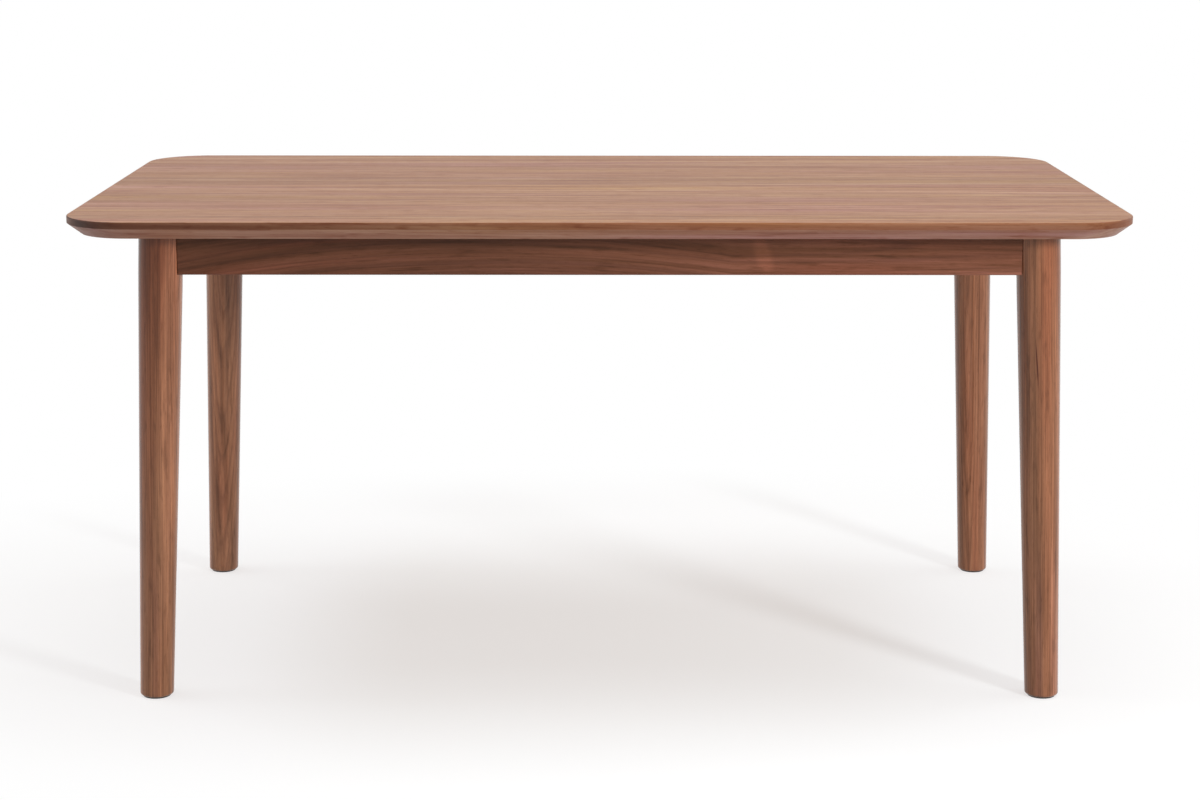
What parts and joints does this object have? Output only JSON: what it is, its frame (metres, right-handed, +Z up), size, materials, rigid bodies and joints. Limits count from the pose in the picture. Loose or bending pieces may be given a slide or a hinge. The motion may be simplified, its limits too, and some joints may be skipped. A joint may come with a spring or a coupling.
{
  "type": "dining table",
  "caption": "Fixed rectangular dining table: bevelled walnut top with rounded corners on round, tapered, splayed legs joined by aprons",
  "frame": {"origin": "On the floor under the middle of the top, at the bottom centre of the bounding box", "axes": "+X runs along the length, -Y is the front seen in the picture, +Z is up"},
  "size_m": [1.6, 0.9, 0.755],
  "materials": {
    "walnut_top": "satin oiled walnut, fine grain along the length",
    "walnut_leg": "satin oiled walnut, grain along the leg",
    "walnut_apron": "satin oiled walnut, grain along the apron",
    "block_wood": "plain sanded hardwood",
    "rail_wood": "sanded walnut, lightly oiled",
    "dowel_wood": "plain turned beech",
    "glide_nylon": "dark matte nylon",
    "zinc_steel": "bright zinc plated steel",
    "screw_steel": "plated steel"
  },
  "bodies": {
    "root": {"top_board_1": "walnut_top", "top_board_2": "walnut_top", "top_board_3": "walnut_top", "top_board_4": "walnut_top", "top_board_5": "walnut_top", "top_board_6": "walnut_top", "top_board_7": "walnut_top", "top_board_8": "walnut_top", "leg_front_left": "walnut_leg", "corner_block_front_left": "block_wood", "foot_glide_front_left": "glide_nylon", "leg_front_right": "walnut_leg", "corner_block_front_right": "block_wood", "foot_glide_front_right": "glide_nylon", "leg_back_left": "walnut_leg", "corner_block_back_left": "block_wood", "foot_glide_back_left": "glide_nylon", "leg_back_right": "walnut_leg", "corner_block_back_right": "block_wood", "foot_glide_back_right": "glide_nylon", "apron_front": "walnut_apron", "apron_back": "walnut_apron", "apron_left": "walnut_apron", "apron_right": "walnut_apron", "cross_rail_left": "rail_wood", "cross_rail_right": "rail_wood", "apron_dowels": "dowel_wood", "hanger_bolts": "zinc_steel", "bolt_washers": "zinc_steel", "bolt_nuts": "zinc_steel", "glide_nails": "zinc_steel", "rail_washers": "zinc_steel", "top_clips": "zinc_steel", "corner_block_screws": "screw_steel", "top_clip_screws": "screw_steel", "rail_screws": "screw_steel"}
  },
  "joints": []
}
